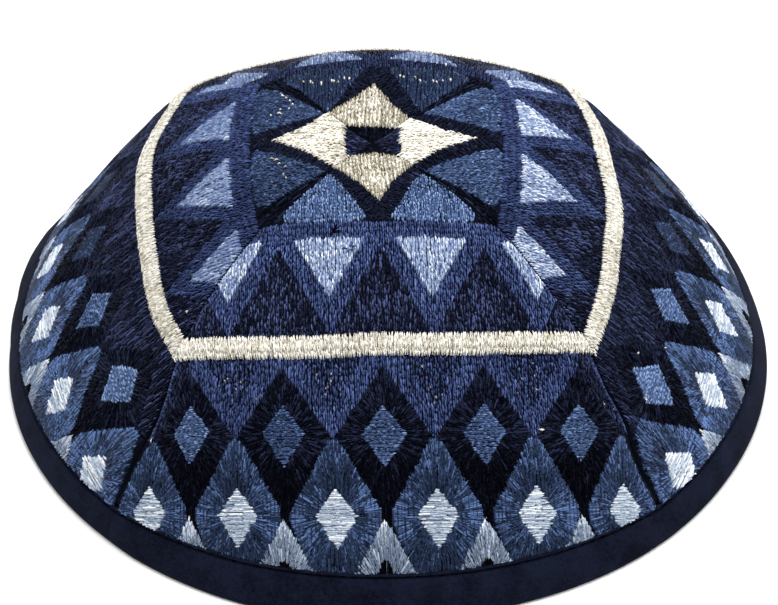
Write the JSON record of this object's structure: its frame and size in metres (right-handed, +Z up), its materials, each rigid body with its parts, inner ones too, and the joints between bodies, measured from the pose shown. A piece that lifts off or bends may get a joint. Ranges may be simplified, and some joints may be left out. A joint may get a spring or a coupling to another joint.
{
  "type": "kippah skullcap",
  "caption": "Shallow domed skullcap sewn from embroidered gores, with a raised cream border, a star at the crown and a folded cloth binding round the rim.",
  "frame": {"origin": "centre of the rim, on the surface that the cap rests on", "axes": "+Z up through the crown, -Y towards the front panel, +X towards the right panel as seen from the front"},
  "size_m": [0.17, 0.17, 0.0633],
  "materials": {
    "embroidered_cloth": "dense satin-stitch embroidery in blues on cotton",
    "cream_thread": "glossy satin-stitched thread",
    "binding_cloth": "matt plain-weave cotton"
  },
  "bodies": {
    "root": {"panel_front": "embroidered_cloth", "border_front": "cream_thread", "star_petal_front": "cream_thread", "panel_right": "embroidered_cloth", "border_right": "cream_thread", "star_petal_right": "cream_thread", "panel_back": "embroidered_cloth", "border_back": "cream_thread", "star_petal_back": "cream_thread", "panel_left": "embroidered_cloth", "border_left": "cream_thread", "star_petal_left": "cream_thread", "rim_binding": "binding_cloth"}
  },
  "joints": []
}
